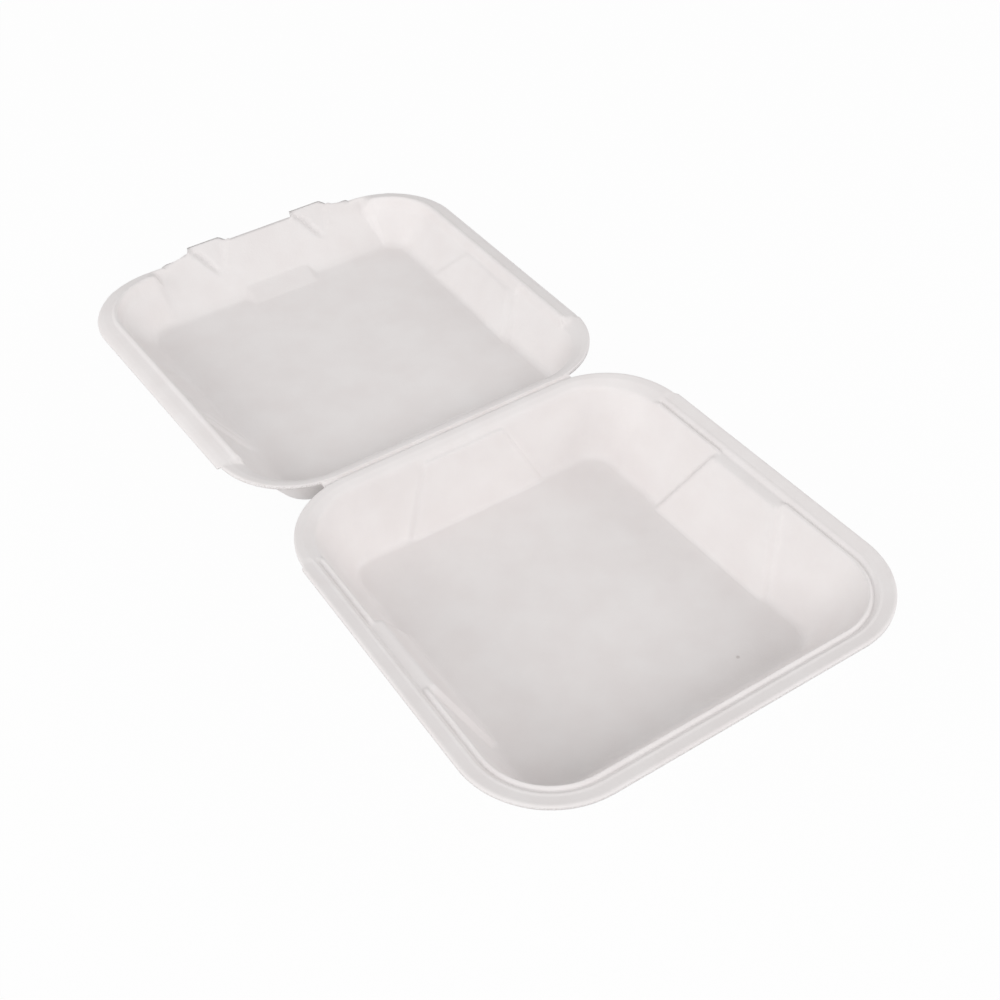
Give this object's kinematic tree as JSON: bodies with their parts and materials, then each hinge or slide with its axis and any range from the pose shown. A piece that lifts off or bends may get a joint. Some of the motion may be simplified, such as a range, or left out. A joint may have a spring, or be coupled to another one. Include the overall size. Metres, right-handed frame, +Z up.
{
  "type": "foam clamshell container",
  "caption": "Square white foam food container: deep base tray, shallow hinged lid with a pleated snap flap, shown open.",
  "frame": {"origin": "on the underside of the base tray, midway across its width and midway between its snap edge and the hinge", "axes": "+X along the hinge, +Y from the base towards the opened lid, +Z up out of the base tray"},
  "size_m": [0.2374, 0.485, 0.0463],
  "materials": {
    "foam": "matte white polystyrene foam",
    "hinge_foam": "pressed white polystyrene foam"
  },
  "bodies": {
    "base": {"base_tray": "foam", "hinge_web": "hinge_foam"},
    "lid": {"lid": "foam"}
  },
  "joints": [
    {"name": "lid_hinge", "type": "hinge", "parent": "base", "child": "lid", "pos_m": [0, 0.1195, 0.0452], "axis": [1, 0, 0], "range_deg": [-4, 181], "deforming": ["hinge_web"]}
  ]
}
